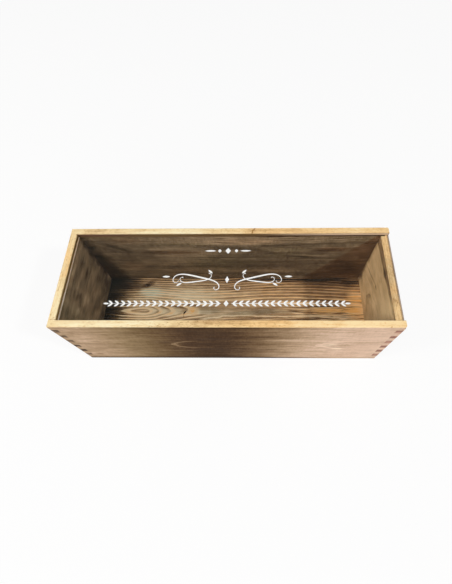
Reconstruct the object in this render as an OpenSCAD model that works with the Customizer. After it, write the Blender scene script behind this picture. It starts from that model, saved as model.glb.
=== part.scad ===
// Wooden box for one bottle, with a clear lid that slides out over the lower end wall.
// Origin: middle of the underside. +X points to the lower end wall, -Y to the front, +Z up.
// Lengths are in millimetres.

/* [Box] */
// Length of the box outside, end to end
box_l = 350; // [300:1:420]
// Width of the box outside, front to back
box_w = 116; // [100:1:150]
// Thickness of the four walls
wall_t = 7.5; // [6:0.5:10]
// Thickness of the floor board
floor_t = 5; // [4:0.5:10]

/* [Finger joints] */
// Number of fingers up one corner, counting both boards
finger_count = 13; // [9:2:15]
// Height of one finger
finger_h = 8.2; // [7.5:0.1:10]

/* [Lid] */
// Thickness of the clear lid
lid_t = 2; // [1.5:0.1:3]
// Clearance between the lid and its groove, on every side
lid_gap = 0.2; // [0.1:0.05:0.3]
// Depth of the groove in the wall
groove_d = 3; // [2:0.1:4]
// Height of the wall above the groove
lip_h = 4; // [3:0.1:5]
// Radius of the lid's corners
lid_corner_r = 1; // [0.5:0.1:2]

/* [Eased edges] */
// Radius of the outer edges of the box
edge_r = 0.8; // [0.3:0.1:1.5]
// Radius of the lip's outer corners at the end where the lid comes out
lip_end_r = 2.2; // [1:0.1:3]
// Chamfer along the rim's inner edges
inner_chamfer = 0.4; // [0.2:0.1:0.8]

/* [Pins] */
// Diameter of a pin's shank
pin_d = 1.4; // [1:0.1:2]
// Length of a pin with its head
pin_l = 18; // [14:1:24]
// Diameter of a pin's head
pin_head_d = 2.8; // [2.2:0.1:3.5]
// Height of a pin's head
pin_head_h = 0.7; // [0.5:0.1:1]
// Depth of a pin's head below the underside
pin_sink = 0.3; // [0.1:0.1:0.6]
// Number of pins along the front wall, and along the back wall
pins_per_side = 5; // [3:1:7]
// Distance of the outermost side pins from the ends of the box
pin_inset = 28; // [20:1:40]
// Number of pins along each end wall
pins_per_end = 2; // [2:1:3]
// Distance of the outermost end pins from the front and back of the box
pin_end_inset = 34; // [25:1:40]

/* [Ornament] */
// Thickness of the white film on the lid
film_t = 0.1; // [0.1:0.05:0.2]
// Length of the laurel band along the front of the lid
laurel_l = 250; // [150:1:270]
// Distance of the laurel band in front of the middle of the lid
laurel_y = 31; // [26:0.5:34]
// Length of one laurel leaf
leaf_l = 5.8; // [4:0.1:7]
// Width of one laurel leaf
leaf_w = 2; // [1.2:0.1:2.6]
// Distance between the laurel's pairs of leaves
leaf_step = 6.4; // [6:0.1:9]
// Width of the scrolls in the middle of the lid, over both sides
scroll_w = 136; // [110:1:150]
// Distance of the scrolls in front of the middle of the lid
scroll_y = 4; // [0:0.5:6]
// Distance of the row of lozenges behind the middle of the lid
lozenge_y = 31; // [27:0.5:34]

/* [Hidden] */
$fn = 64;

// How far a cutting shape runs past the surface that it cuts
over = 1;
wall_h = finger_count * finger_h;
box_h = floor_t + wall_h;
inner_l = box_l - 2 * wall_t;
inner_w = box_w - 2 * wall_t;
groove_h = lid_t + 2 * lid_gap;
groove_z = box_h - lip_h - groove_h;
groove_w = inner_w + 2 * groove_d;
groove_x = -inner_l / 2 - groove_d;
lid_x = groove_x + lid_gap;
lid_z = groove_z + lid_gap;
lid_w = groove_w - 2 * lid_gap;
lid_l = box_l / 2 - lid_x;
film_z = lid_z + lid_t;
// The front and back walls hold rows 0, 2, 4 and so on, counted from the rim
side_rows = [0 : 2 : finger_count - 1];
end_rows = [1 : 2 : finger_count - 1];

walnut_stain = [0.55, 0.44, 0.33];
dark_stain = [0.42, 0.31, 0.21];
honey_wood = [0.74, 0.6, 0.4];
steel_grey = [0.62, 0.62, 0.64];
clear_sheet = [0.86, 0.93, 0.95, 0.3];
film_white = [0.96, 0.96, 0.94];

// Underside of a row of fingers
function row_z(row) = box_h - (row + 1) * finger_h;

// Places of count pins, evenly spread between the two outermost ones
function spread(count, outermost) =
    [for (i = [0 : count - 1]) -outermost + 2 * outermost * i / (count - 1)];

// What rounding takes off a square corner whose sides lie along -X and -Y
module corner_waste(r) {
    difference() {
        translate([-r, -r])
            square(r + over);
        translate([-r, -r])
            circle(r = r);
    }
}

// Upright bar that rounds the corner at the origin, from z = 0 up
module corner_cutter(h, r) {
    linear_extrude(height = h)
        corner_waste(r);
}

// Bar from the origin along +X that rounds an edge facing +Y and +Z
module round_cutter(run, r) {
    rotate([90, 0, 90])
        linear_extrude(height = run)
            corner_waste(r);
}

// Bar from the origin along +X that chamfers an edge facing +Y and +Z
module chamfer_cutter(run, c) {
    rotate([90, 0, 90])
        linear_extrude(height = run)
            polygon([[-c, over], [-c, 0], [0, -c], [over, -c], [over, over]]);
}

// Everything that sanding takes off the outside of the box
module sanded_off() {
    for (side = [0, 1])
        mirror([0, side, 0]) {
            translate([-box_l / 2 - over, box_w / 2, box_h])
                round_cutter(box_l + 2 * over, edge_r);
            translate([-box_l / 2 - over, box_w / 2, 0])
                mirror([0, 0, 1])
                    round_cutter(box_l + 2 * over, edge_r);
            for (end = [0, 1])
                mirror([end, 0, 0])
                    translate([box_l / 2, box_w / 2, -over])
                        corner_cutter(box_h + 2 * over, edge_r);
            translate([box_l / 2, box_w / 2, groove_z + groove_h])
                corner_cutter(lip_h + over, lip_end_r);
        }
    translate([-box_l / 2, -box_w / 2 - over, box_h])
        rotate([0, 0, 90])
            round_cutter(box_w + 2 * over, edge_r);
    for (end = [0, 1])
        mirror([end, 0, 0])
            translate([-box_l / 2, -box_w / 2 - over, 0])
                mirror([0, 0, 1])
                    rotate([0, 0, 90])
                        round_cutter(box_w + 2 * over, edge_r);
}

// Space that the lid slides in, run out through the lower end
module lid_run() {
    translate([groove_x, -groove_w / 2, groove_z])
        cube([box_l / 2 - groove_x + over, groove_w, groove_h]);
}

// A pin, or with the same sizes the hole that it sits in
module pin() {
    translate([0, 0, pin_sink])
        cylinder(d = pin_head_d, h = pin_head_h);
    translate([0, 0, pin_sink])
        cylinder(d = pin_d, h = pin_l);
}

// Puts its child at each place where a pin goes up into a wall
module at_pins() {
    for (y = [-1, 1] * (box_w - wall_t) / 2)
        for (x = spread(pins_per_side, box_l / 2 - pin_inset))
            translate([x, y, 0])
                children();
    for (x = [-1, 1] * (box_l - wall_t) / 2)
        for (y = spread(pins_per_end, box_w / 2 - pin_end_inset))
            translate([x, y, 0])
                children();
}

// Wall along the back, with the other board's fingers cut out of its ends
module side_wall() {
    difference() {
        translate([-box_l / 2, box_w / 2 - wall_t, floor_t])
            cube([box_l, wall_t, wall_h]);
        for (row = end_rows)
            for (end = [0, 1])
                mirror([end, 0, 0])
                    translate([inner_l / 2, box_w / 2 - wall_t - over, row_z(row)])
                        cube([wall_t + over, wall_t + 2 * over, finger_h]);
        lid_run();
        translate([-inner_l / 2, inner_w / 2, box_h])
            mirror([0, 1, 0])
                chamfer_cutter(inner_l + wall_t + over, inner_chamfer);
        sanded_off();
        at_pins()
            pin();
    }
}

// Wall across one end, with the side walls' fingers cut out of its edges
module end_wall(side) {
    difference() {
        translate([side < 0 ? -box_l / 2 : inner_l / 2, -box_w / 2, floor_t])
            cube([wall_t, box_w, wall_h]);
        for (row = side_rows)
            for (edge = [0, 1])
                mirror([0, edge, 0])
                    translate([-box_l / 2 - over, inner_w / 2, row_z(row)])
                        cube([box_l + 2 * over, wall_t + over, finger_h + (row == 0 ? over : 0)]);
        lid_run();
        sanded_off();
        at_pins()
            pin();
    }
}

// Pointed leaf of length l and width w, lying along +X from the origin
module leaf(l, w) {
    r = (l * l / 4 + w * w / 4) / w;
    intersection() {
        translate([l / 2, r - w / 2])
            circle(r = r);
        translate([l / 2, w / 2 - r])
            circle(r = r);
    }
}

module lozenge(size) {
    x = size[0] / 2;
    y = size[1] / 2;
    polygon([[-x, 0], [0, y], [x, 0], [0, -y]]);
}

// Steps of a scroll on each side of its middle
scroll_steps = 24;
// How sharply a scroll's bend grows towards its ends
bend_power = 3;
// Sharpness of the swelling from a scroll's thin ends to its middle
swell_power = 1.5;

// Turn of a scroll, in degrees, from its middle to the fraction u of its length, -1 to 1
function scroll_turn(u, turn_a, turn_b) =
    (u < 0 ? -turn_a : turn_b) * pow(abs(u), bend_power + 1);

// Half width of a scroll at u: thin at the ends, with a round bulb of radius bulb on each
function scroll_half(u, run, half_mid, half_end, bulb) =
    let (
        reach = min(2 * bulb, run * (1 - abs(u))),
        dot = sqrt(max(0, bulb * bulb - pow(reach - bulb, 2)))
    )
    max(dot, half_end + (half_mid - half_end) * pow(cos(90 * u), swell_power));

// Points of a scroll's middle line, walked from the origin over the run on one side
function scroll_walk(run, heading, side, turn_a, turn_b) =
    [for (
        i = 0, a = heading, p = [0, 0];
        i <= scroll_steps;
        a = heading + scroll_turn(side * (i + 0.5) / scroll_steps, turn_a, turn_b),
        p = p + side * run / scroll_steps * [cos(a), sin(a)],
        i = i + 1
    ) p];

// Scroll with its middle at the origin: run_a and turn_a lie before it, run_b and turn_b after
module scroll(heading, run_a, turn_a, run_b, turn_b, half_mid, half_end, bulb) {
    before = scroll_walk(run_a, heading, -1, turn_a, turn_b);
    after = scroll_walk(run_b, heading, 1, turn_a, turn_b);
    line = [
        for (i = [scroll_steps : -1 : 1]) before[i],
        for (i = [0 : scroll_steps]) after[i]
    ];
    u = [for (i = [-scroll_steps : scroll_steps]) i / scroll_steps];
    side = [
        for (i = [0 : 2 * scroll_steps])
            let (
                a = heading + scroll_turn(u[i], turn_a, turn_b),
                half = scroll_half(u[i], u[i] < 0 ? run_a : run_b, half_mid, half_end, bulb)
            )
            half * [-sin(a), cos(a)]
    ];
    polygon([
        for (i = [0 : 2 * scroll_steps]) line[i] + side[i],
        for (i = [2 * scroll_steps : -1 : 0]) line[i] - side[i]
    ]);
}

// Width over both sides at which the scrollwork below is drawn
scroll_drawn_w = 150;
// Size of the scrollwork's small leaves
sprig_l = 7;
sprig_w = 2.4;
// Length of the leaf at the outer end of the scrollwork
end_sprig_l = 9;
// Angle between a laurel leaf and the stem
leaf_angle = 34;
// Half widths of the laurel's stem by the middle and at its tip
stem_half_start = 0.35;
stem_half_tip = 0.15;
// Size of the lozenge in the middle of the laurel, the scrolls and the row
laurel_lozenge = [5, 7];
scroll_lozenge = [4.5, 9];
row_lozenge = [6, 7.5];
// The row's outer lozenges and the long leaves that end it
row_small_lozenge = [4, 4.5];
row_small_x = 9;
row_leaf_x = 13;
row_leaf_l = 12;

// Draws its child on the +X side and its mirror image on the -X side
module both_sides() {
    for (side = [0, 1])
        mirror([side, 0])
            children();
}

// Half of the scrollwork, on the +X side
module half_scrollwork() {
    long_mid = [31, 3];
    short_mid = [36, -2.5];
    inner_sprig = [17, 8];
    outer_sprig = [52, -4];
    end_sprig = [66, 4];
    translate(long_mid)
        scroll(heading = 14, run_a = 38, turn_a = -310, run_b = 46, turn_b = -300,
            half_mid = 0.95, half_end = 0.28, bulb = 0.9);
    translate(short_mid)
        scroll(heading = -8, run_a = 26, turn_a = 200, run_b = 26, turn_b = 250,
            half_mid = 0.7, half_end = 0.25, bulb = 0.7);
    translate(inner_sprig)
        rotate(42)
            leaf(sprig_l, sprig_w);
    translate(outer_sprig)
        rotate(-34)
            leaf(sprig_l, sprig_w);
    translate(end_sprig)
        leaf(end_sprig_l, sprig_w);
}

// Laurel band on the +X side, its leaves pointing outwards
module half_laurel() {
    first = leaf_step;
    tip = laurel_l / 2 - leaf_l;
    polygon([
        [first - 1, stem_half_start], [first - 1, -stem_half_start],
        [tip, -stem_half_tip], [tip, stem_half_tip]
    ]);
    for (x = [first : leaf_step : tip - leaf_l / 2])
        for (turn = [-leaf_angle, leaf_angle])
            translate([x, 0])
                rotate(turn)
                    leaf(leaf_l, leaf_w);
    translate([tip, 0])
        leaf(leaf_l, leaf_w);
}

// Row of lozenges on the +X side
module half_row() {
    translate([row_small_x, 0])
        lozenge(row_small_lozenge);
    translate([row_leaf_x, 0])
        leaf(row_leaf_l, leaf_w);
}

module front_wall() {
    color(walnut_stain)
        mirror([0, 1, 0])
            side_wall();
}

module back_wall() {
    color(walnut_stain)
        side_wall();
}

module left_wall() {
    color(dark_stain)
        difference() {
            end_wall(-1);
            translate([-inner_l / 2, inner_w / 2, box_h])
                rotate([0, 0, -90])
                    chamfer_cutter(inner_w, inner_chamfer);
        }
}

module right_wall() {
    color(honey_wood)
        difference() {
            end_wall(1);
            translate([inner_l / 2 - over, -box_w / 2 - over, groove_z])
                cube([wall_t + 2 * over, box_w + 2 * over, box_h]);
        }
}

module floor_board() {
    color(dark_stain)
        difference() {
            translate([-box_l / 2, -box_w / 2, 0])
                cube([box_l, box_w, floor_t]);
            sanded_off();
            at_pins() {
                pin();
                cylinder(d = pin_head_d, h = 2 * pin_sink, center = true);
            }
        }
}

module floor_pins() {
    color(steel_grey)
        at_pins()
            pin();
}

module sliding_lid() {
    color(clear_sheet)
        translate([lid_x, -lid_w / 2, lid_z])
            difference() {
                cube([lid_l, lid_w, lid_t]);
                for (x = [0, lid_l])
                    for (y = [0, lid_w])
                        translate([x, y, -over])
                            mirror([x == 0 ? 1 : 0, 0, 0])
                                mirror([0, y == 0 ? 1 : 0, 0])
                                    corner_cutter(lid_t + 2 * over, lid_corner_r);
            }
}

module lid_ornament() {
    color(film_white)
        translate([0, 0, film_z])
            linear_extrude(height = film_t) {
                translate([0, -laurel_y]) {
                    both_sides()
                        half_laurel();
                    lozenge(laurel_lozenge);
                }
                translate([0, -scroll_y])
                    scale(scroll_w / scroll_drawn_w) {
                        both_sides()
                            half_scrollwork();
                        lozenge(scroll_lozenge);
                    }
                translate([0, lozenge_y]) {
                    both_sides()
                        half_row();
                    lozenge(row_lozenge);
                }
            }
}

front_wall();
back_wall();
left_wall();
right_wall();
floor_board();
floor_pins();
sliding_lid();
lid_ornament();
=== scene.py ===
import math

import bpy
from mathutils import Matrix, Vector

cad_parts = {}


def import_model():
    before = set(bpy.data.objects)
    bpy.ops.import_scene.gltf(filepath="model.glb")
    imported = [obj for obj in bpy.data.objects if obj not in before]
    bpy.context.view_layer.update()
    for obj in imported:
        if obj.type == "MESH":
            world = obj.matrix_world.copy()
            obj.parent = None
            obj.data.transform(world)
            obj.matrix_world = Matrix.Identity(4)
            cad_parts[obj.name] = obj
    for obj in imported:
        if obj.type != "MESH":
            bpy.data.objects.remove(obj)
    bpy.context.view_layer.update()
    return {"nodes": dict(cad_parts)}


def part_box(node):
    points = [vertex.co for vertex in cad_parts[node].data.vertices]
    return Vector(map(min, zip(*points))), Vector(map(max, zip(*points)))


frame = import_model()

MM = 0.001
PHOTO_W, PHOTO_H = 452, 584
SENSOR = 36.0

front_low, front_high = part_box("front_wall")
_, floor_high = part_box("floor_board")
lid_low, lid_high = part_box("sliding_lid")
_, low_end_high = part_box("right_wall")

# Sizes of the box in millimetres: half its length and width, the walls and the height
HALF_L = floor_high.x / MM
HALF_W = floor_high.y / MM
WALL = (front_high.y - front_low.y) / MM
RIM = front_high.z / MM
HALF_INNER_L = HALF_L - WALL
# Lower and upper face of the lid's groove; the lid's clearance is the same above and below
GROOVE_Z = low_end_high.z / MM
LIP_Z = lid_high.z / MM + (lid_low.z / MM - GROOVE_Z)


def rgb(r, g, b):
    """Linear colour from 0 to 255 screen values."""
    def one(v):
        v = v / 255
        return v / 12.92 if v <= 0.04045 else ((v + 0.055) / 1.055) ** 2.4
    return (one(r), one(g), one(b), 1.0)


class Graph:
    """Builds the nodes of a material or a world; a value may be a number, a tuple or a socket."""

    def __init__(self, block, out_kind="ShaderNodeOutputMaterial"):
        block.use_nodes = True
        self.block = block
        self.tree = block.node_tree
        self.tree.nodes.clear()
        self.out = self.new(out_kind)

    def new(self, kind, **settings):
        node = self.tree.nodes.new(kind)
        for key, value in settings.items():
            setattr(node, key, value)
        return node

    def put(self, socket, value):
        if isinstance(value, bpy.types.NodeSocket):
            self.tree.links.new(value, socket)
        else:
            socket.default_value = value

    def math(self, op, a, b=0.0, c=0.0):
        node = self.new("ShaderNodeMath", operation=op)
        for socket, value in zip(node.inputs, (a, b, c)):
            self.put(socket, value)
        return node.outputs[0]

    def add(self, a, b):
        return self.math("ADD", a, b)

    def sub(self, a, b):
        return self.math("SUBTRACT", a, b)

    def mul(self, a, *others):
        for b in others:
            a = self.math("MULTIPLY", a, b)
        return a

    def total(self, start, *parts):
        """start plus each (socket, weight) of parts."""
        for socket, weight in parts:
            start = self.math("MULTIPLY_ADD", socket, weight, start)
        return start

    def lerp(self, factor, a, b):
        """Number from a at factor 0 to b at factor 1."""
        return self.total(a, (self.mul(factor, self.sub(b, a)), 1.0))

    def step(self, value, low, high, out_low=0.0, out_high=1.0):
        """Smooth step from out_low at low to out_high at high."""
        if low > high:
            low, high, out_low, out_high = high, low, out_high, out_low
        node = self.new("ShaderNodeMapRange", interpolation_type="SMOOTHSTEP")
        for socket, v in zip(node.inputs, (value, low, high, out_low, out_high)):
            self.put(socket, v)
        return node.outputs[0]

    def between(self, value, low, high, soft):
        """1 from low to high, falling to 0 over soft outside."""
        return self.mul(self.step(value, low - soft, low), self.step(value, high + soft, high))

    def mix(self, factor, a, b, blend="MIX"):
        node = self.new("ShaderNodeMix", data_type="RGBA", blend_type=blend)
        self.put(node.inputs[0], factor)
        self.put(node.inputs[6], a)
        self.put(node.inputs[7], b)
        return node.outputs[2]

    def mix_shaders(self, factor, a, b):
        node = self.new("ShaderNodeMixShader")
        for socket, value in zip(node.inputs, (factor, a, b)):
            self.put(socket, value)
        return node.outputs[0]

    def ramp(self, value, *stops):
        """Colour of value, from (place, colour) stops."""
        node = self.new("ShaderNodeValToRGB")
        ramp = node.color_ramp
        while len(ramp.elements) < len(stops):
            ramp.elements.new(0.5)
        for element, (place, colour) in zip(ramp.elements, stops):
            element.position = place
            element.color = colour
        self.put(node.inputs[0], value)
        return node.outputs[0]

    def vector(self, x, y, z):
        node = self.new("ShaderNodeCombineXYZ")
        for socket, value in zip(node.inputs, (x, y, z)):
            self.put(socket, value)
        return node.outputs[0]

    def split(self, vector):
        node = self.new("ShaderNodeSeparateXYZ")
        self.put(node.inputs[0], vector)
        return node.outputs

    def noise(self, vector, scale=1.0, detail=2.0):
        node = self.new("ShaderNodeTexNoise")
        for name, value in (("Vector", vector), ("Scale", scale), ("Detail", detail)):
            self.put(node.inputs[name], value)
        return node.outputs[0]

    def shader(self, colour, roughness, height=None, bump_mm=0.1, **inputs):
        """Principled shader; height is 0 to 1 and stands bump_mm tall."""
        node = self.new("ShaderNodeBsdfPrincipled")
        self.put(node.inputs["Base Color"], colour)
        self.put(node.inputs["Roughness"], roughness)
        for name, value in inputs.items():
            self.put(node.inputs[name.replace("_", " ")], value)
        if height is not None:
            bump = self.new("ShaderNodeBump")
            bump.inputs["Strength"].default_value = 1.0
            bump.inputs["Distance"].default_value = bump_mm * MM
            self.put(bump.inputs["Height"], height)
            self.put(node.inputs["Normal"], bump.outputs[0])
        return node.outputs[0]

    def finish(self, surface):
        self.put(self.out.inputs["Surface"], surface)
        return self.block


class Place:
    """Where a shaded point lies: millimetres in the frame, and its normal."""

    def __init__(self, g):
        coord = g.new("ShaderNodeTexCoord")
        scale = g.new("ShaderNodeVectorMath", operation="SCALE")
        g.put(scale.inputs[0], coord.outputs["Object"])
        scale.inputs["Scale"].default_value = 1 / MM
        self.x, self.y, self.z = g.split(scale.outputs[0])
        self.nx, self.ny, self.nz = g.split(coord.outputs["Normal"])


def material(name):
    """Graph of a new material, and the place of its shaded point."""
    g = Graph(bpy.data.materials.new(name))
    return g, Place(g)


class Figure:
    """The grain of a board: along, across and depth are millimetres from the frame's origin.

    The rings are circles round a pith that runs along the board, pith_depth under its face, so
    the face shows arches where that depth changes along the board. phase is the radius of a
    ring's edge, and waver scales the rings' drift. seed tells the boards' noise apart.
    """

    SEED_STEP = 531.0

    def __init__(self, g, along, across, depth, seed, pith_across, pith_depth, ring, phase=0.0, waver=1.0):
        self.g = g
        self.along = g.add(along, seed * self.SEED_STEP)
        self.across = across
        self.depth = depth
        self.broad = self.patch(150, 9, detail=3.0)
        self.streak = self.patch(60, 2.4, detail=3.0)
        self.thread = self.patch(26, 0.9, shift=5.0)
        self.fibre = self.patch(9, 0.35)
        self.cloud = self.patch(16, 11, detail=3.0, shift=3.0)
        self.mottle = self.patch(9, 3.2, detail=3.0, shift=4.0)
        drift = g.sub(self.patch(90, 16, detail=1.0, shift=1.0), 0.5)
        ripple = g.sub(self.patch(22, 5, detail=1.0, shift=2.0), 0.5)
        side = g.sub(across, pith_across)
        drift_mm, ripple_mm = 7.0 * waver, 2.2 * waver
        radius = g.math("SQRT", g.add(g.mul(side, side), g.mul(pith_depth, pith_depth)))
        radius = g.total(radius, (drift, drift_mm), (ripple, ripple_mm))
        self.turn = g.math("FRACT", g.math("DIVIDE", g.sub(radius, phase), ring))
        # Spots and borders waver along the grain, and a little across it
        along_mm, across_mm = 9.0, -3.0
        wobble = g.noise(g.vector(g.mul(self.along, 0.11), g.mul(across, 0.16), g.mul(depth, 0.1)))
        self.wobble = g.sub(wobble, 0.5)
        self.spot_at = g.vector(
            g.total(along, (self.wobble, along_mm)), g.total(across, (self.wobble, across_mm)), 0.0)
        self.sharp_at = g.vector(along, across, 0.0)

    def patch(self, long_mm, wide_mm, detail=2.0, shift=0.0):
        """Noise drawn out along the grain, its patches long_mm by wide_mm."""
        g = self.g
        vector = g.vector(
            g.math("MULTIPLY_ADD", self.along, 1 / long_mm, shift),
            g.mul(self.across, 1 / wide_mm),
            g.mul(self.depth, 1 / wide_mm),
        )
        return g.noise(vector, detail=detail)

    def saw_marks(self, spacing):
        """Fine marks across the grain, as a swing about 0."""
        return self.g.sub(self.patch(spacing, 7.0, shift=6.0), 0.5)

    def grain(self, start, streak, broad, cloud, thread=0.5, fibre=0.25, mottle=0.4):
        """start plus the weighted swing of each scale of the grain about its middle."""
        parts = (
            (self.streak, streak), (self.broad, broad), (self.cloud, cloud),
            (self.thread, thread), (self.fibre, fibre), (self.mottle, mottle),
        )
        middle = 0.5 * sum(weight for _, weight in parts)
        return self.g.total(self.g.sub(start, middle), *parts)

    def band(self, low, high, soft_low=0.08, soft_high=0.08):
        """1 where the ring's turn lies between low and high."""
        g = self.g
        return g.mul(
            g.step(self.turn, low - soft_low, low + soft_low),
            g.step(self.turn, high + soft_high, high - soft_high),
        )

    def reach(self, at, along, across, long_mm, wide_mm, degrees=0.0):
        """Distance of the place at from an ellipse's middle, 1 on its rim."""
        g = self.g
        node = g.new("ShaderNodeMapping", vector_type="TEXTURE")
        g.put(node.inputs["Vector"], at)
        g.put(node.inputs["Location"], (along, across, 0.0))
        g.put(node.inputs["Rotation"], (0.0, 0.0, math.radians(degrees)))
        g.put(node.inputs["Scale"], (long_mm, wide_mm, 1.0))
        length = g.new("ShaderNodeVectorMath", operation="LENGTH")
        g.put(length.inputs[0], node.outputs[0])
        return length.outputs["Value"]

    def spot(self, along, across, long_mm, wide_mm, degrees=0.0, soft=0.8, sharp=False):
        """1 inside an ellipse with half axes long_mm and wide_mm, 0 outside; sharp keeps its outline even."""
        at = self.sharp_at if sharp else self.spot_at
        return self.g.step(self.reach(at, along, across, long_mm, wide_mm, degrees), 1.0, 1.0 - soft)

    def arc(self, along, across, long_mm, wide_mm, thick):
        """1 on the rim of an ellipse, thick being a share of its half axes."""
        soft = 0.05
        reach = self.reach(self.spot_at, along, across, long_mm, wide_mm)
        return self.g.between(reach, 1.0 - thick, 1.0, soft)

    def spots(self, start, *rows):
        """start plus each row's weight times its spot.

        A row is (weight, along, across, half length, half width), all but the weight in mm, with
        the rest of spot's arguments where it needs them.
        """
        return self.g.total(start, *((self.spot(*row[1:]), row[0]) for row in rows))


def tint(g, colour, factor, *parts):
    """colour darkened towards its product with the screen colour parts."""
    return g.mix(factor, colour, rgb(*parts), "MULTIPLY")


def facing(g, normal):
    """1 where that part of the normal is positive, 0 where it is negative."""
    return g.step(normal, -0.2, 0.2)


def stain(g, tone):
    """Brown stain of the inner faces, from dark at 0 to pale at 1."""
    return g.ramp(
        tone,
        (0.0, rgb(46, 39, 30)), (0.25, rgb(86, 71, 53)), (0.5, rgb(125, 106, 80)),
        (0.75, rgb(164, 140, 108)), (1.0, rgb(206, 179, 142)),
    )


def outer_stain(g, tone):
    """Brown stain of the outer faces, from dark at 0 to pale at 1."""
    return g.ramp(
        tone,
        (0.0, rgb(48, 32, 18)), (0.15, rgb(75, 52, 32)), (0.35, rgb(120, 93, 64)),
        (0.6, rgb(166, 138, 106)), (0.8, rgb(202, 171, 141)), (1.0, rgb(236, 207, 181)),
    )


def plain_outer(g, fig, start, broad, rings, weight):
    """Outer face without marks of its own."""
    tone = fig.grain(start, streak=0.28, broad=broad, cloud=0.2, thread=0.5, fibre=0.5, mottle=0.1)
    return outer_stain(g, g.total(tone, (rings, weight)))


def rim_figure(g, along, across, depth, seed):
    """Grain of a rim, whose rings are too far from their pith to curve."""
    return Figure(g, along, across, depth, seed=seed, pith_across=150.0, pith_depth=60.0, ring=8.0)


def bare_wood(g, fig, warm, *rows):
    """Sanded rim: honey wood with fine short flecks; warm is 0 for yellow and 1 for orange."""
    fleck = g.step(fig.patch(2.4, 0.7, detail=1.0, shift=7.0), 0.56, 0.72)
    tone = fig.grain(0.62, streak=0.7, broad=0.4, cloud=0.6, thread=0.5, fibre=0.4)
    tone = fig.spots(g.total(tone, (fleck, -0.32)), *rows)
    colour = g.ramp(
        tone,
        (0.0, rgb(164, 124, 74)), (0.3, rgb(212, 180, 132)),
        (0.6, rgb(243, 216, 164)), (1.0, rgb(254, 244, 206)),
    )
    return tint(g, colour, warm, 255, 214, 158)


def wear(g, p):
    """1 on the rounded edges, 0 on flat faces."""
    parts = [g.math("ABSOLUTE", n) for n in (p.nx, p.ny, p.nz)]
    largest = g.math("MAXIMUM", g.math("MAXIMUM", parts[0], parts[1]), parts[2])
    return g.step(largest, 0.9, 0.99, 1.0, 0.0)


def end_grain(g, p, fig):
    """Sawn end: ring bands with fine dots and blots, brown at the left and redder at the right."""
    right = g.step(p.x, -10.0, 10.0)
    pale = g.mix(right, rgb(164, 133, 102), rgb(206, 158, 136))
    dark = g.mix(right, rgb(74, 57, 42), rgb(152, 110, 92))
    dots = g.noise(g.vector(fig.along, g.mul(fig.across, 2.5), g.mul(fig.depth, 2.5)), detail=1.0)
    blot = g.noise(g.vector(fig.along, g.mul(fig.across, 0.11), g.mul(fig.depth, 0.2)), detail=1.0)
    tone = g.total(-0.45, (fig.band(0.5, 0.95, 0.2), 0.45), (dots, 0.8), (blot, 0.8))
    return g.mix(g.step(tone, 0.1, 0.8), pale, dark)


def inside_box(g, p):
    """0 on the box's outer faces, 1 from a little within them."""
    shallow, deep = 0.5, 0.9
    inside_x = g.step(g.math("ABSOLUTE", p.x), HALF_L - shallow, HALF_L - deep)
    inside_y = g.step(g.math("ABSOLUTE", p.y), HALF_W - shallow, HALF_W - deep)
    return g.mul(inside_x, inside_y)


def finish_wall(g, p, fig, colour, end_normal, rim, lip, groove):
    """Adds the lip over the groove, the groove, the sawn ends, worn edges and the bare rim."""
    inside = inside_box(g, p)
    over_groove = g.mul(g.step(p.z, LIP_Z - 0.3, LIP_Z - 0.1), inside)
    in_groove = g.mul(g.between(p.z, GROOVE_Z - 0.05, LIP_Z, 0.1), inside)
    colour = g.mix(over_groove, colour, lip)
    colour = g.mix(in_groove, colour, groove)
    sawn = g.step(g.math("ABSOLUTE", end_normal), 0.6, 0.9)
    colour = g.mix(sawn, colour, end_grain(g, p, fig))
    rubbed = g.mul(wear(g, p), g.step(fig.cloud, 0.4, 0.6, 0.1, 0.4))
    colour = g.mix(rubbed, colour, rgb(206, 172, 128))
    up = g.step(p.nz, 0.45, 0.85)
    high = g.step(p.z, RIM - 1.2, RIM - 0.9)
    return g.mix(g.mul(up, high), colour, rim)


def wall_shader(g, fig, colour, rough_dark, rough_pale, gloss):
    """Finishes a wall's material; its roughness goes from the dark to the pale streaks."""
    roughness = g.step(fig.streak, 0.3, 0.7, rough_dark, rough_pale)
    height = g.total(fig.fibre, (fig.band(0.55, 0.95, 0.15, 0.04), 0.5), (fig.streak, 0.6))
    return g.finish(g.shader(colour, roughness, height, 0.1, Specular_IOR_Level=gloss))


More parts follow.
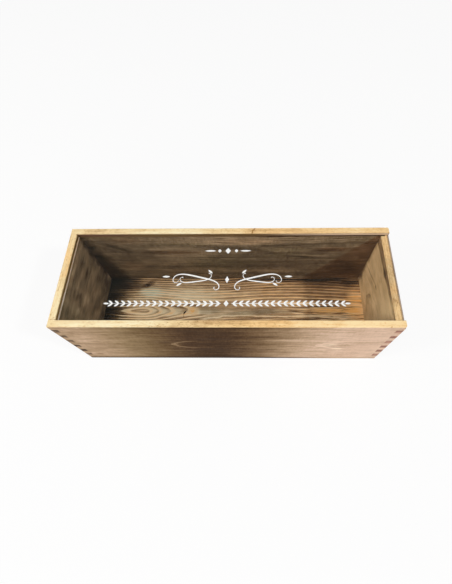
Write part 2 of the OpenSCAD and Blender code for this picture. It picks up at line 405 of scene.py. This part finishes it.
def front_outer(g, p, fig):
    """Outer face: khaki brown at the left, painted shade across the middle and paler at the right."""
    grain = fig.grain(0.0, streak=0.34, broad=0.45, cloud=0.3, thread=0.75, fibre=0.6, mottle=0.12)
    left_arch = g.mul(fig.arc(-34, 56, 28, 13, 0.14), g.step(p.x, -26.0, -42.0))
    right_arch = g.mul(fig.arc(143, 54, 46, 14, 0.13), g.step(p.x, 132.0, 116.0))
    arches = g.total(left_arch, (right_arch, 0.8))
    # The painted shade's borders waver with the grain, and the right one leans
    centre = g.add(p.x, g.total(10.0, (g.sub(fig.broad, 0.5), 24.0)))
    leaning = g.add(centre, g.mul(g.sub(p.z, 55.0), -0.22))
    left_painted_shade = g.step(centre, -10.0, -145.0, 0.12, 0.67)
    right_painted_shade = g.step(leaning, -2.0, 122.0, 0.15, 0.9)
    shade = g.lerp(g.step(centre, -30.0, 30.0), left_painted_shade, right_painted_shade)
    tone = g.total(shade, (g.mul(grain, g.step(shade, 0.1, 0.7, 0.4, 0.75)), 1.0), (arches, 0.2))
    tone = g.total(tone, (fig.saw_marks(1.8), 0.17))
    tone = fig.spots(
        tone,
        # Round the V of pale grain at the right
        (0.1, 106, 53, 10, 5), (0.08, 116, 64, 9, 2.2), (0.08, 125, 75, 7, 2.4), (-0.08, 128, 54, 12, 5),
        (-0.08, 104, 43, 8, 4), (-0.08, 108, 66, 10, 3), (-0.07, 100, 71.5, 34, 4), (-0.05, 145, 54, 16, 10),
        # Pale streaks
        (0.16, -158, 68, 14, 2.2), (0.1, -105, 70, 50, 1.2), (0.16, 60, 70.5, 24, 1.0),
        (0.08, 22, 60, 16, 1.0), (0.1, 36, 41, 20, 1.0), (0.06, -60, 33, 60, 4), (0.06, 90, 26, 30, 3),
        (0.06, -57, 56, 6, 9), (0.1, -163, 24, 4, 3), (0.06, 162, 50, 40, 70),
        # Dark streaks, the dark under the rim, and painted shade along the foot
        (-0.06, 75, 92, 40, 6), (-0.08, -40, 30, 14, 1.4), (-0.05, 20, 64, 20, 3), (-0.08, 44, 56, 22, 8),
        (-0.07, -120, 88, 30, 3), (-0.2, -157, 18, 5, 4),
        (-0.07, 0, 108, 170, 2.5), (-0.1, -8, 7, 60, 3), (-0.12, -90, 6, 60, 3),
    )
    outer = outer_stain(g, tone)
    green = g.mul(g.step(g.math("ABSOLUTE", g.add(p.x, 96.0)), 55.0, 5.0), 0.5)
    outer = tint(g, outer, green, 236, 243, 222)
    outer = tint(g, outer, g.mul(g.step(p.x, 60.0, 150.0), 0.3), 255, 242, 244)
    vee = fig.spots(
        0.0, (0.6, 112, 56.4, 10, 3.2, 16), (1.15, 121, 42.2, 12, 2.6, -12), (0.2, 107, 52, 8, 5))
    return g.mix(vee, outer, rgb(255, 232, 204))


def front_wall_wood():
    g, p = material("front_wall_wood")
    pith_depth = g.add(g.mul(p.x, -0.06), 41.4)
    fig = Figure(
        g, p.x, p.z, p.y, seed=1.0, pith_across=55.0, pith_depth=pith_depth, ring=4.65, phase=45.0)
    inner = stain(g, fig.grain(0.4, streak=0.9, broad=0.8, cloud=0.6))
    colour = g.mix(facing(g, p.ny), front_outer(g, p, fig), inner)
    # The rim is darker in the middle, painted shade, with a pale painted highlight along the middle of its
    # outer edge
    rim = bare_wood(
        g, rim_figure(g, p.x, p.y, p.z, seed=1.5), g.step(p.x, -60.0, 50.0, 0.0, 0.46),
        (-0.22, -14, -54, 60, 14), (0.2, -120, -54, 76, 14), (0.2, 80, -54, 36, 14),
        (0.4, 145, -54, 54, 14), (0.2, 0, -57.4, 70, 0.8), (-0.7, 161, -57.8, 1.0, 1.6),
        (-0.12, -80, -57, 26, 0.8),
    )
    lip = g.mix(0.6, rim, rgb(150, 118, 84))
    colour = finish_wall(g, p, fig, colour, p.nx, rim, lip, groove=rim)
    return wall_shader(g, fig, colour, 0.52, 0.68, gloss=0.02)


def back_tone(g, p, fig):
    """Tone of the back wall's inner face."""
    grain = fig.grain(0.0, streak=0.3, broad=0.5, cloud=0.4, thread=0.5, fibre=0.4, mottle=0.15)
    tone = g.total(0.47, (grain, 1.0), (fig.band(0.75, 0.97, 0.15, 0.03), -0.07))
    tone = fig.spots(
        tone,
        # Broad pale zones
        (0.16, 10, 95, 60, 14), (0.14, -66, 98, 60, 8), (0.16, -80, 80, 60, 4), (0.16, -56, 66, 50, 30),
        (0.16, 70, 77, 34, 6), (0.14, -86, 50, 62, 12), (0.16, -128, 36, 26, 14), (0.1, -50, 28, 60, 8),
        (0.12, 60, 26, 46, 8), (0.05, -60, 70, 60, 30),
        # Broad dark zones
        (-0.1, 20, 40, 60, 12), (-0.16, 140, 32, 36, 30), (-0.06, 70, 66, 44, 40),
        # Dark flames round the knots
        (-0.26, -72, 72, 44, 5, 0, 0.6), (-0.22, 115, 76, 28, 7, 3, 0.8), (-0.2, -132, 82, 28, 5, -32, 0.9),
        (-0.22, 12, 80, 26, 3, -10), (-0.16, 46, 72, 30, 5, -18, 0.9), (-0.18, 95, 60, 44, 3, -6, 0.9),
        # Pale lines
        (0.26, 98, 64.5, 40, 2.5, -5), (0.28, 8, 56.8, 46, 1.2, -0.5, 0.6), (0.14, -95, 65, 50, 1.6, -2),
        (0.1, 70, 92, 60, 2, 2), (0.1, 122, 70, 6, 4),
        # Dark lines along the grain, then across it
        (-0.2, -20, 60, 90, 1.5, -1), (-0.2, 95, 89, 54, 1.6, 4), (-0.14, -50, 89.5, 60, 1.6),
        (-0.1, -10, 100, 60, 1),
        (-0.12, 68, 60, 2.2, 30), (-0.08, -22, 40, 2.2, 22), (-0.08, -124, 60, 2.2, 30),
    )
    # Paler wood over a border that rises to the right
    top = g.total(-86.0, (p.z, 1.0), (g.math("MAXIMUM", p.x, 0.0), -0.06), (fig.wobble, 4.0))
    top = g.mul(
        g.step(top, -1.5, 3.0), g.step(p.x, -70.0, -20.0), g.step(p.x, 40.0, 110.0, 1.0, 0.75))
    tone = g.total(
        tone, (top, 0.17), (g.mul(top, g.sub(fig.thread, 0.5)), 1.1), (fig.saw_marks(2.0), 0.42))
    # Painted shadow of the left wall in the back-left corner, reaching further right lower down
    corner = g.total(g.add(p.x, HALF_INNER_L), (g.sub(RIM, p.z), -0.22), (fig.wobble, 14.0))
    return g.total(tone, (g.step(corner, 10.0, -6.0), -0.36))


def back_inner(g, p, fig):
    """Inner face: reddish at its knots, olive between them, and a darker, redder painted shadow right of a
    leaning border.
    """
    inner = stain(g, back_tone(g, p, fig))
    # Painted shadow of the right wall, right of a leaning border
    painted_shadow = g.step(g.total(p.x, (p.z, -0.72)), 85.0, 89.5)
    red_knots_and_shadow = fig.spots(
        0.0, (0.7, -72, 72, 50, 6), (0.8, 122, 78, 34, 7), (0.3, 20, 95, 60, 10), (0.4, -120, 98, 30, 10),
        (0.3, -128, 40, 26, 14))
    # The knots and the painted shadow are reddened
    red_knots_and_shadow = g.total(red_knots_and_shadow, (painted_shadow, 0.6), (fig.broad, 0.2))
    inner = tint(g, inner, red_knots_and_shadow, 255, 228, 210)
    olive = fig.spots(
        0.0, (0.5, -10, 45, 70, 30), (0.5, 66, 77, 40, 9), (0.5, -60, 90, 50, 3), (0.4, 60, 64, 70, 5))
    inner = tint(g, inner, olive, 240, 248, 232)
    # Painted shadow: darker right of the border, most high up
    return tint(g, inner, g.mul(painted_shadow, g.step(p.z, 40.0, 90.0, 0.4, 1.0)), 222, 214, 210)


def back_lip(g, p, fig):
    """Lip over the groove: brown at the left, pale at the right, with dark streaks."""
    lip = g.mix(g.step(p.x, 20.0, 110.0), rgb(136, 108, 72), rgb(232, 204, 172))
    lip = g.mix(g.step(p.x, -100.0, -120.0), lip, rgb(124, 94, 76))
    return g.mix(g.step(fig.streak, 0.35, 0.65, 0.3, 0.0), lip, rgb(84, 58, 40))


def back_wall_wood():
    g, p = material("back_wall_wood")
    pith_depth = g.add(g.mul(p.x, 0.02), 60.0)
    fig = Figure(
        g, p.x, p.z, p.y, seed=2.0, pith_across=150.0, pith_depth=pith_depth, ring=8.0, waver=1.2)
    outer = plain_outer(
        g, fig, start=0.6, broad=0.5, rings=fig.band(0.6, 0.97, 0.3, 0.03), weight=-0.08)
    colour = g.mix(facing(g, p.ny), back_inner(g, p, fig), outer)
    rim = bare_wood(
        g, rim_figure(g, p.x, p.y, p.z, seed=2.5), g.step(p.x, -40.0, 60.0, 0.0, 0.36),
        # The forked crack
        (-1.1, 26.0, 52.5, 4.2, 0.8, 80, 0.7, True), (-1.1, 28.4, 56.5, 3.6, 0.8, 62, 0.7, True),
        (-0.1, 26, 54, 9, 9),
        # Paler and darker stretches
        (0.14, -60, 54, 60, 12), (-0.2, -118, 57.4, 12, 0.9), (-0.12, -150, 54, 30, 9),
        (0.1, 150, 56, 24, 2), (-0.1, 66, 54, 50, 12),
    )
    # The groove is painted dark towards the right, painted shade in the recess, and keeps the bare rim colour
    # at its open end as painted light
    groove = g.mix(g.step(p.x, 0.0, 60.0), rgb(120, 94, 66), rgb(52, 26, 12))
    groove = g.mix(g.step(p.x, HALF_L - 3.2, HALF_L - 2.6), groove, rim)
    colour = finish_wall(g, p, fig, colour, p.nx, rim, back_lip(g, p, fig), groove)
    return wall_shader(g, fig, colour, 0.55, 0.72, gloss=0.08)


def end_wall(name, faces, inward, seed, pith_z, pith_depth, pith_slope, ring, phase):
    """Wall across the box; faces gives its colours, and its inner face looks along inward times x."""
    g, p = material(name)
    depth = g.add(g.mul(p.y, pith_slope), pith_depth)
    fig = Figure(
        g, p.y, p.z, p.x, seed=seed, pith_across=pith_z, pith_depth=depth, ring=ring, phase=phase)
    inner, outer, rim, lip, groove = faces(g, p, fig)
    colour = g.mix(facing(g, g.mul(p.nx, inward)), outer, inner)
    colour = finish_wall(g, p, fig, colour, p.ny, rim, lip, groove)
    return wall_shader(g, fig, colour, 0.55, 0.72, gloss=0.08)


def left_faces(g, p, fig):
    """Inner and outer face, rim, lip and groove of the left wall."""
    late = fig.band(0.7, 0.97, 0.15, 0.03)
    grain = fig.grain(0.0, streak=0.35, broad=0.5, cloud=1.1, thread=0.5, fibre=0.4, mottle=0.35)
    # Darker towards the back and towards the floor, painted shade
    tone = g.total(
        0.66, (grain, 0.8), (late, -0.05), (g.step(p.y, -40.0, 50.0), -0.16),
        (g.step(p.z, 50.0, 10.0), -0.12))
    tone = fig.spots(
        tone,
        # Dark flames, and the dark back edge, painted shade where the walls meet
        (-0.2, -12, 80, 14, 6, -50), (-0.14, -36, 92, 10, 6), (-0.16, 20, 72, 16, 3),
        (-0.12, 30, 18, 24, 12), (-0.1, -20, 62, 6, 14), (-0.12, -28, 103, 34, 3), (-0.4, 52, 60, 9, 70),
        # Pale spots
        (0.16, -4, 62, 14, 8), (0.14, 0, 86, 12, 6), (0.08, 30, 58, 12, 8), (0.14, -26, 72, 8, 10),
        (0.14, 4, 101, 50, 5),
    )
    inner = tint(g, stain(g, tone), g.step(p.y, -10.0, -35.0, 0.0, 0.5), 230, 242, 236)
    outer = plain_outer(g, fig, start=0.6, broad=0.4, rings=late, weight=-0.12)
    rim_fig = rim_figure(g, p.y, p.x, p.z, seed=4.5)
    rim = bare_wood(
        g, rim_fig, g.step(rim_fig.cloud, 0.4, 0.6, 0.0, 0.4),
        (0.26, -36, -171, 34, 12), (-0.5, -44.5, -173.6, 1.8, 0.5, 60), (-0.5, -48, -169.6, 2.0, 0.5, 60),
        (-0.2, 50, -174.5, 12, 1.0), (-0.9, -50.4, -170, 0.45, 8), (-0.6, 50.4, -167.8, 2.6, 1.0),
    )
    lip = g.mix(g.step(fig.streak, 0.3, 0.7), rgb(124, 98, 58), rgb(160, 134, 88))
    # Pale bare wood in the groove, lifted to a painted highlight line
    groove = g.mix(g.step(fig.cloud, 0.35, 0.65), rgb(232, 206, 176), rgb(252, 238, 222))
    return inner, outer, rim, lip, groove


def right_faces(g, p, fig):
    """Inner and outer face, rim, lip and groove of the right wall, which ends under the groove."""
    edge = fig.band(0.8, 0.99, 0.18, 0.03)
    grain = fig.grain(0.0, streak=0.25, broad=0.3, cloud=0.5, thread=0.35, fibre=0.3, mottle=0.2)
    show = fig.spots(0.15, (0.9, 8, 38, 34, 34), (0.5, 6, 70, 20, 16))
    # Paler towards the front, painted light
    tone = g.total(0.71, (grain, 1.0), (g.mul(edge, show), -0.24), (g.step(p.y, -2.0, -36.0), 0.25))
    tone = fig.spots(
        tone,
        # Leaning dark lines, one after the other
        (-0.34, 33, 53.2, 27, 2.2, -26, 0.9), (-0.24, 14, 62.6, 14, 1.6, -26),
        (-0.18, 26, 46.5, 20, 1.9, -29, 0.9), (-0.18, 4, 57.6, 16, 1.4, -20),
        (-0.24, 1, 50, 13, 1.7, -32), (-0.2, -14, 56.4, 14, 1.8, -14), (-0.2, -18, 48, 12, 3, -18),
        # Small knot, and the darker wood of the arch under it
        (-0.34, 8, 64, 3, 2.4), (-0.14, 9, 40, 6, 9), (-0.12, -14, 42, 7, 9), (-0.1, 4, 30, 6, 8),
        (0.26, -9, 49, 19, 11),
        # Broad zones, with the dark back edge, painted shade where the walls meet
        (0.1, -20, 75, 22, 12), (-0.08, 26, 70, 8, 6), (-0.08, 8, 82, 6, 8), (-0.14, 44, 16, 14, 16),
        (-0.3, 51, 50, 7, 70), (-0.24, 50, 20, 9, 24),
    )
    # Painted shade: a dark band under the rim, deeper towards the back, with two darker spots
    shade_band_foot = g.total(g.add(g.mul(p.y, -0.09), 97.2), (fig.wobble, 5.0))
    tone = g.total(tone, (g.step(g.sub(p.z, shade_band_foot), -1.6, 1.2), -0.4))
    tone = fig.spots(tone, (-0.44, 8, 97, 10, 5), (-0.15, -22, 101, 10, 3))
    inner = g.ramp(
        tone,
        (0.0, rgb(72, 54, 36)), (0.3, rgb(138, 108, 74)), (0.6, rgb(200, 165, 117)),
        (1.0, rgb(238, 204, 152)),
    )
    outer = plain_outer(g, fig, start=0.7, broad=0.3, rings=edge, weight=-0.12)
    rim_fig = rim_figure(g, p.y, p.x, p.z, seed=5.5)
    rim = bare_wood(
        g, rim_fig, g.step(rim_fig.cloud, 0.4, 0.6, 0.0, 0.3),
        (-0.3, 0, 171, 80, 12), (0.1, -40, 171, 12, 8), (-0.14, -28, 170, 3, 4),
    )
    return inner, outer, rim, rim, rim


def floor_figure(g, p):
    """Rings of the floor, cut flat.

    The pith comes nearest to the face at x = -115, the eye of the loops, and sinks away from it,
    more slowly to the left.
    """
    side = g.add(p.x, 115.0)
    side = g.math("MAXIMUM", side, g.mul(side, -0.3))
    side = g.math("SQRT", g.total(14.0, (side, side)))
    nearness = g.math("POWER", math.e, g.mul(side, -1 / 43))
    pith_depth = g.math("MULTIPLY_ADD", nearness, -17.0, 18.2)
    bend = g.total(3.0, (g.step(p.x, -45.0, 75.0), 7.0), (g.step(p.x, 95.0, 165.0), -3.0))
    return Figure(
        g, p.x, p.y, p.z, seed=3.0, pith_across=bend, pith_depth=pith_depth, ring=3.3, phase=1.9,
        waver=0.4)


def floor_top(g, p, fig, line):
    """Brushed face: fine lines, closed loops at the left, streaky sapwood at the right, with painted shadow
    at the left end and painted shade along the back wall.
    """
    before = fig.band(0.3, 0.66, 0.2, 0.08)
    away = g.total(p.x, (fig.wobble, 12.0), (p.y, -0.1))
    # Painted shadow of the left wall over the floor's left end
    end = g.step(away, -126.0, -172.0)
    heart = g.step(g.math("ABSOLUTE", g.sub(p.y, 2.0)), 15.0, 6.0)
    plain = g.mul(heart, g.step(p.x, -52.0, -30.0))
    loops = g.mul(heart, g.step(p.x, -30.0, -56.0), g.step(away, -160.0, -138.0))
    sap = g.mul(g.step(p.x, 50.0, 125.0), g.step(p.y, 16.0, 6.0))
    show = g.mul(
        g.math("MULTIPLY_ADD", plain, -0.82, 1.0),
        g.step(fig.broad, 0.3, 0.55, 0.7, 1.0),
        g.step(away, -165.0, -132.0, 0.3, 1.0),
        g.step(fig.patch(34, 3.0, shift=8.0), 0.35, 0.6, 0.5, 1.1),
        g.step(fig.spot(130, 43, 70, 11), 0.0, 1.0, 1.0, 0.5),
    )
    fine_lines = g.mul(line, show)
    loop_lines = g.mul(fig.band(0.7, 0.98, 0.1, 0.03), loops)
    tone = fig.grain(0.59, streak=0.35, broad=0.35, cloud=0.3, thread=0.5, fibre=0.35, mottle=0.2)
    tone = g.total(
        tone, (fine_lines, 0.38), (g.mul(before, show), -0.2),
        (loop_lines, 0.7), (g.mul(before, loops), -0.12), (loops, -0.08))
    tone = fig.spots(
        tone,
        # Left end: a pale patch, a knot and its dark surroundings
        (0.32, -110, 29, 22, 12), (-0.46, -114, 42, 13, 5, 30, 0.9), (-0.32, -134, 40, 26, 14),
        # Loops, with the short crack right of them
        (0.44, -112, 2, 46, 16), (0.48, -66, 0, 38, 12), (-0.1, -118, 2, 12, 4), (0.2, -50, 3, 8, 8),
        (-1.3, -63, -0.5, 5.5, 1.6, 75, 0.6),
        # Middle
        # Middle, with painted shade in the long dark spot along the back wall's foot
        (0.3, -60, 26, 66, 16), (0.1, -6, 24, 60, 14), (0.16, -10, 0, 60, 8), (-0.04, 48, 2, 50, 8),
        (-0.12, 60, 38, 80, 10), (-0.4, 70, 48, 110, 4),
        # Right end: paler towards the front, partly painted light, and darker by the back wall, partly
        # painted shade
        (0.54, 160, 2, 20, 22), (0.36, 162, 25, 18, 9), (0.33, 126, 0, 54, 10), (-0.06, 120, 28, 60, 12),
        (-0.2, 158, 43, 22, 7), (-0.16, 128, 42, 56, 12), (-0.1, 130, 42, 50, 10),
        # Single pale lines near the front wall
        (0.42, -28, -7.4, 24, 2.2, 8), (0.14, 10, -4, 40, 1.6, 2), (0.3, 62, -4.6, 100, 1.5, -0.8),
        (0.22, 108, 5.5, 42, 3.4), (0.42, 138, 0.4, 26, 1.7), (0.6, 140, -6.5, 30, 1.9),
        # Single dark lines between them
        (-0.22, 46, -7.1, 66, 1.4, -0.8), (-0.16, 78, 2.6, 16, 2, -12), (-0.5, 114, -2.6, 34, 1.6, -5),
        (-0.5, 158, -3, 14, 0.9), (-0.4, 150, 4.5, 16, 0.9, 3), (-0.4, 160, 9, 12, 0.9, -3),
    )
    # Painted shadow at the left end and painted shade along the back wall's foot; a little paler left of the
    # middle
    tone = g.total(tone, (end, -0.7), (g.step(p.y, 40.0, 50.0), -0.26), (g.step(p.x, 0.0, -50.0), 0.07))
    sap_streak = g.sub(fig.patch(50, 1.4, shift=9.0), 0.5)
    tone = g.total(tone, (g.mul(sap, g.sub(fig.thread, 0.5)), 3.0), (g.mul(sap, sap_streak), 2.2))
    colour = g.ramp(
        tone,
        (0.0, rgb(42, 36, 30)), (0.2, rgb(84, 66, 48)), (0.45, rgb(146, 115, 82)),
        (0.7, rgb(200, 167, 126)), (1.0, rgb(255, 232, 192)),
    )
    # Orange late wood, strongest at the right
    orange = g.total(
        g.mul(fine_lines, 0.5), (g.step(p.x, -80.0, 120.0), 0.22), (loops, 0.18), (loop_lines, -0.16))
    orange = fig.spots(
        orange, (0.62, 125, 3, 50, 8), (0.35, -50, 3, 9, 9), (0.46, 160, 6, 20, 40), (-0.3, 10, 2, 80, 7))
    orange = g.mul(orange, g.step(fig.thread, 0.3, 0.62, 0.55, 1.1))
    colour = tint(g, colour, orange, 255, 212, 146)
    # Greyer early wood between the lines
    ground = g.step(g.math("MAXIMUM", line, loop_lines), 0.2, 0.8, 1.0, 0.15)
    pale = fig.spots(0.0, (1.0, -112, 30, 26, 14), (0.7, 20, 2, 86, 9), (0.3, -80, 2, 44, 10))
    colour = tint(g, colour, g.mul(pale, ground), 226, 244, 255)
    cool = g.mul(g.step(p.x, 0.0, -60.0, 0.0, 0.6), ground, g.step(loops, 0.0, 1.0, 1.0, 0.3))
    colour = tint(g, colour, cool, 238, 248, 255)
    # Cooler tint in the painted shadow at the left end
    return tint(g, colour, end, 226, 242, 244)


def floor_edge(g, p, fig):
    """Sawn edge: at the front dark, painted shade, and pale at its right end; of one tone on the other sides.
    """
    # Painted shade: the front edge is dark up to x = 40 mm and paler towards the right end
    tone = g.step(p.x, 40.0, 130.0, 0.0, 0.8)
    other_side = g.step(p.ny, -0.9, -0.5)
    tone = g.lerp(other_side, tone, 0.36)
    return outer_stain(g, g.total(tone, (g.sub(fig.streak, 0.5), 0.6)))


def floor_under(g, fig, line):
    """Unstained underside."""
    tone = g.total(0.55, (g.sub(fig.streak, 0.5), 0.6), (g.sub(fig.broad, 0.5), 0.6), (line, -0.2))
    return g.ramp(tone, (0.0, rgb(150, 118, 84)), (1.0, rgb(226, 198, 158)))


def floor_wood():
    g, p = material("floor_wood")
    fig = floor_figure(g, p)
    line = fig.band(0.66, 0.96, 0.14, 0.03)
    colour = g.mix(g.step(p.nz, 0.2, 0.6), floor_edge(g, p, fig), floor_top(g, p, fig, line))
    colour = g.mix(g.step(p.nz, -0.6, -0.2), floor_under(g, fig, line), colour)
    roughness = g.step(line, 0.0, 1.0, 0.66, 0.5)
    height = g.total(fig.fibre, (line, 1.2), (fig.streak, 0.5))
    return g.finish(g.shader(colour, roughness, height, 0.16, Specular_IOR_Level=0.08))


def clear_sheet():
    """Clear lid that lets lamplight through to the inside, and bends sight a little."""
    g = Graph(bpy.data.materials.new("clear_sheet"))
    glass = g.shader((0.99, 0.995, 0.995, 1.0), 0.0, Transmission_Weight=1.0, IOR=1.12)
    clear = g.new("ShaderNodeBsdfTransparent")
    path = g.new("ShaderNodeLightPath")
    passing = g.math("MAXIMUM", path.outputs["Is Shadow Ray"], path.outputs["Is Diffuse Ray"])
    reflected = g.sub(path.outputs["Is Glossy Ray"], path.outputs["Is Transmission Ray"])
    passing = g.math("MAXIMUM", passing, reflected)
    return g.finish(g.mix_shaders(passing, glass, clear.outputs[0]))


def sheet_edge():
    g, p = material("sheet_edge")
    saw = g.noise(g.vector(g.mul(p.x, 2.0), g.mul(p.y, 2.0), g.mul(p.z, 0.2)), detail=3.0)
    colour = g.mix(g.step(saw, 0.3, 0.7), rgb(132, 116, 104), rgb(176, 160, 146))
    return g.finish(g.shader(colour, g.step(saw, 0.3, 0.7, 0.3, 0.5), saw, 0.04))


def white_film():
    g, p = material("white_film")
    cloud = g.noise(g.vector(g.mul(p.x, 0.3), g.mul(p.y, 0.3), p.z), detail=3.0)
    colour = g.mix(g.step(cloud, 0.3, 0.7), rgb(240, 240, 236), rgb(250, 250, 248))
    return g.finish(g.shader(colour, g.step(cloud, 0.3, 0.7, 0.5, 0.62), cloud, 0.02))


def pin_steel():
    g, p = material("pin_steel")
    scratch = g.noise(g.vector(g.mul(p.x, 6.0), g.mul(p.y, 1.2), p.z), detail=3.0)
    rust = g.step(g.noise(g.vector(p.x, p.y, p.z), scale=0.8), 0.55, 0.75)
    colour = g.mix(g.mul(rust, 0.5), rgb(200, 200, 202), rgb(120, 84, 60))
    return g.finish(g.shader(colour, g.step(scratch, 0.3, 0.7, 0.3, 0.5), scratch, 0.02, Metallic=1.0))


def dress(node, *materials):
    """Gives a CAD node its materials."""
    mesh = frame["nodes"][node].data
    mesh.materials.clear()
    for item in materials:
        mesh.materials.append(item)
    return mesh


def dress_box():
    dress("front_wall", front_wall_wood())
    dress("back_wall", back_wall_wood())
    dress("left_wall", end_wall(
        "left_wall_wood", left_faces, inward=1.0, seed=4.0,
        pith_z=30.0, pith_depth=40.0, pith_slope=0.05, ring=5.5, phase=0.0))
    dress("right_wall", end_wall(
        "right_wall_wood", right_faces, inward=-1.0, seed=5.0,
        pith_z=32.0, pith_depth=34.8, pith_slope=0.27, ring=9.0, phase=38.0))
    dress("floor_board", floor_wood())
    dress("floor_pins", pin_steel())
    dress("lid_ornament", white_film())
    sheet = dress("sliding_lid", clear_sheet(), sheet_edge())
    broad_face, cut_edge = 0, 1
    for face in sheet.polygons:
        face.material_index = broad_face if abs(face.normal.z) > 0.5 else cut_edge


def new_object(name, data):
    obj = bpy.data.objects.new(name, data)
    bpy.context.scene.collection.objects.link(obj)
    return obj


def camera():
    """Camera of the photograph: place, angles and principal point of a fit to the box's edges."""
    focal_px, centre_x, centre_y = 366.1, 249.5, 286.4
    pitch, yaw, roll = (math.radians(v) for v in (63.85, -2.82, -2.60))
    place = Vector((31.6, -177.8, 445.8)) * MM
    forward = Vector((math.sin(yaw) * math.cos(pitch), math.cos(yaw) * math.cos(pitch), -math.sin(pitch)))
    right = Vector((math.cos(yaw), -math.sin(yaw), 0.0))
    up = right.cross(forward)
    right, up = (
        math.cos(roll) * right + math.sin(roll) * up,
        math.cos(roll) * up - math.sin(roll) * right,
    )
    data = bpy.data.cameras.new("photo_camera")
    data.sensor_width = SENSOR
    data.lens = focal_px * SENSOR / PHOTO_H
    data.shift_x = (PHOTO_W / 2 - centre_x) / PHOTO_H
    data.shift_y = (centre_y - PHOTO_H / 2) / PHOTO_H
    data.clip_start = 0.01
    obj = new_object("photo_camera", data)
    turn = Matrix((right, up, -forward)).transposed().to_4x4()
    obj.matrix_world = Matrix.Translation(place) @ turn
    bpy.context.scene.camera = obj


def lamp(name, place, size, watts):
    """Round lamp, its place and size in metres, turned to the middle of the box."""
    middle = Vector((0, 0, 0.05))
    data = bpy.data.lights.new(name, "AREA")
    data.shape = "DISK"
    data.size = size
    data.energy = watts
    obj = new_object(name, data)
    obj.location = place
    obj.rotation_euler = (middle - Vector(place)).to_track_quat("-Z", "Y").to_euler()


def seen_white(g):
    """1 for the rays that show the surroundings, 0 for those that only light the box."""
    path = g.new("ShaderNodeLightPath")
    seen = g.math("MAXIMUM", path.outputs["Is Camera Ray"], path.outputs["Is Glossy Ray"])
    return g.math("MAXIMUM", seen, path.outputs["Is Transmission Ray"])


def world():
    """White to look at, and a faint warm light."""
    sky = bpy.data.worlds.new("studio")
    bpy.context.scene.world = sky
    g = Graph(sky, "ShaderNodeOutputWorld")
    light = g.new("ShaderNodeBackground")
    light.inputs["Color"].default_value = (1, 0.98, 0.95, 1)
    light.inputs["Strength"].default_value = 0.18
    white = g.new("ShaderNodeBackground")
    white.inputs["Color"].default_value = (1, 1, 1, 1)
    white.inputs["Strength"].default_value = 1.0
    g.finish(g.mix_shaders(seen_white(g), light.outputs[0], white.outputs[0]))


def studio_floor():
    """Pale floor, a little under the box so that their faces don't meet; it keeps a faint shadow."""
    half, gap = 4.0, 0.0002
    glow_share = 0.88
    corners = [(-half, -half, 0), (half, -half, 0), (half, half, 0), (-half, half, 0)]
    mesh = bpy.data.meshes.new("studio_floor")
    mesh.from_pydata(corners, [], [(0, 1, 2, 3)])
    obj = new_object("studio_floor", mesh)
    obj.location.z = -gap
    g = Graph(bpy.data.materials.new("studio_floor"))
    diffuse = g.new("ShaderNodeBsdfDiffuse")
    diffuse.inputs["Color"].default_value = (0.86, 0.86, 0.86, 1)
    glow = g.new("ShaderNodeEmission")
    shown = g.mul(seen_white(g), glow_share)
    mesh.materials.append(g.finish(g.mix_shaders(shown, diffuse.outputs[0], glow.outputs[0])))


dress_box()
camera()
world()
studio_floor()
lamp("key", (-0.55, -0.6, 2.0), size=0.4, watts=12)
lamp("left", (-1.75, -0.45, 0.95), size=0.5, watts=18)
lamp("side", (1.4, -0.6, 1.75), size=0.18, watts=19)
lamp("front", (0.1, -2.2, 1.1), size=1.0, watts=9)
bpy.context.scene.view_settings.view_transform = "Standard"
